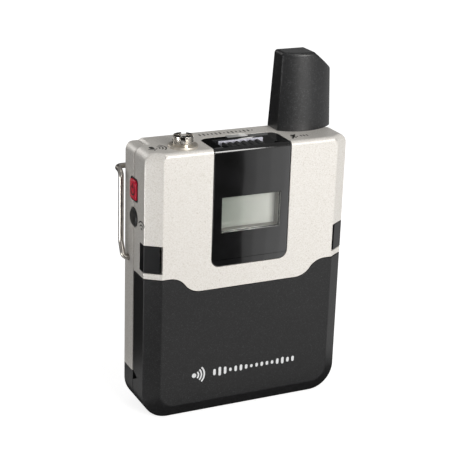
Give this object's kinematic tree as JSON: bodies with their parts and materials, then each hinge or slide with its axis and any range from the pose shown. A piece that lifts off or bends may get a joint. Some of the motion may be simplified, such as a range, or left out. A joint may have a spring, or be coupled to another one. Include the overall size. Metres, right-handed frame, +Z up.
{
  "type": "wireless bodypack transmitter",
  "caption": "Belt-worn wireless microphone transmitter with a display panel, threaded jack, blade antenna, side buttons, wire belt clip and a pull-off cell pack.",
  "frame": {"origin": "middle of the flat bottom of the housing, half way between its front and back faces", "axes": "+Z up towards the antenna, -Y out of the display, +X to the right seen from the front"},
  "size_m": [0.0766, 0.0278, 0.1182],
  "materials": {
    "silver_shell": "silver metallic paint with a fine speckle",
    "charcoal_shell": "fine-textured charcoal paint",
    "inner_plastic": "moulded black",
    "gloss_black": "polished black",
    "clear_window": "clear",
    "lcd": "grey-green display glass",
    "lcd_frame_plastic": "moulded grey",
    "light_pipe": "frosted clear",
    "stripe_white": "pale marking",
    "red_button": "satin red",
    "button_black": "soft-touch black",
    "catch_black": "satin black",
    "nickel": "bright nickel",
    "spring_wire": "bright nickel wire",
    "spring_steel": "spring steel",
    "gold_contact": "gold flash",
    "board": "green solder mask",
    "chip": "moulded epoxy",
    "shield_tin": "tinned sheet",
    "switch_body": "moulded black",
    "screw_steel": "black-nickel screw",
    "cell_sleeve": "printed sleeve, plain"
  },
  "bodies": {
    "housing": {"front_shell": "silver_shell", "rear_shell": "silver_shell", "base_cap": "charcoal_shell", "charge_contacts": "gold_contact", "bay_divider": "inner_plastic", "bay_contacts": "gold_contact", "display_panel": "gloss_black", "panel_window": "clear_window", "lcd_frame": "lcd_frame_plastic", "lcd_glass": "lcd", "status_light": "light_pipe", "mute_stripe": "stripe_white", "mute_switch": "switch_body", "button_bezel": "button_black", "power_switch": "switch_body", "pair_switch": "switch_body", "jack_barrel": "nickel", "jack_nut": "nickel", "jack_body": "inner_plastic", "antenna_cap": "charcoal_shell", "antenna_board": "board", "main_board": "board", "board_chips": "chip", "rf_shield": "shield_tin", "housing_screws": "screw_steel", "clip_frame": "spring_wire"},
    "pack": {"pack_cover": "charcoal_shell", "pack_tray": "inner_plastic", "cell_lower": "cell_sleeve", "cell_upper": "cell_sleeve", "cell_contacts": "spring_steel", "pack_board": "board", "pack_contacts": "gold_contact"},
    "catch_left": {"catch_left": "catch_black", "catch_spring_left": "spring_steel"},
    "catch_right": {"catch_right": "catch_black", "catch_spring_right": "spring_steel"},
    "power_button": {"power_button": "red_button"},
    "pair_button": {"pair_button": "button_black"},
    "mute_slider": {"mute_slider": "catch_black"},
    "clip_tongue": {"clip_tongue": "spring_wire"}
  },
  "joints": [
    {"name": "pack_release", "type": "slide", "parent": "housing", "child": "pack", "axis": [0, -1, 0], "range_m": [0, 0.03]},
    {"name": "catch_left_press", "type": "slide", "parent": "housing", "child": "catch_left", "axis": [1, 0, 0], "range_m": [0, 0.0006], "stiffness_N_per_m": 900, "springref_m": -0.0008},
    {"name": "catch_right_press", "type": "slide", "parent": "housing", "child": "catch_right", "axis": [-1, 0, 0], "range_m": [0, 0.0006], "stiffness_N_per_m": 900, "springref_m": -0.0008},
    {"name": "power_press", "type": "slide", "parent": "housing", "child": "power_button", "axis": [1, 0, 0], "range_m": [0, 0.0006], "stiffness_N_per_m": 1500, "springref_m": -0.0004},
    {"name": "pair_press", "type": "slide", "parent": "housing", "child": "pair_button", "axis": [1, 0, 0], "range_m": [0, 0.0006], "stiffness_N_per_m": 1500, "springref_m": -0.0004},
    {"name": "mute_slide", "type": "slide", "parent": "housing", "child": "mute_slider", "axis": [1, 0, 0], "range_m": [0, 0.0022]},
    {"name": "clip_flex", "type": "hinge", "parent": "housing", "child": "clip_tongue", "pos_m": [0, 0.0137, 0.0822], "axis": [1, 0, 0], "range_deg": [0, 12], "stiffness_Nm_per_rad": 1.4, "springref_deg": -2.86}
  ]
}
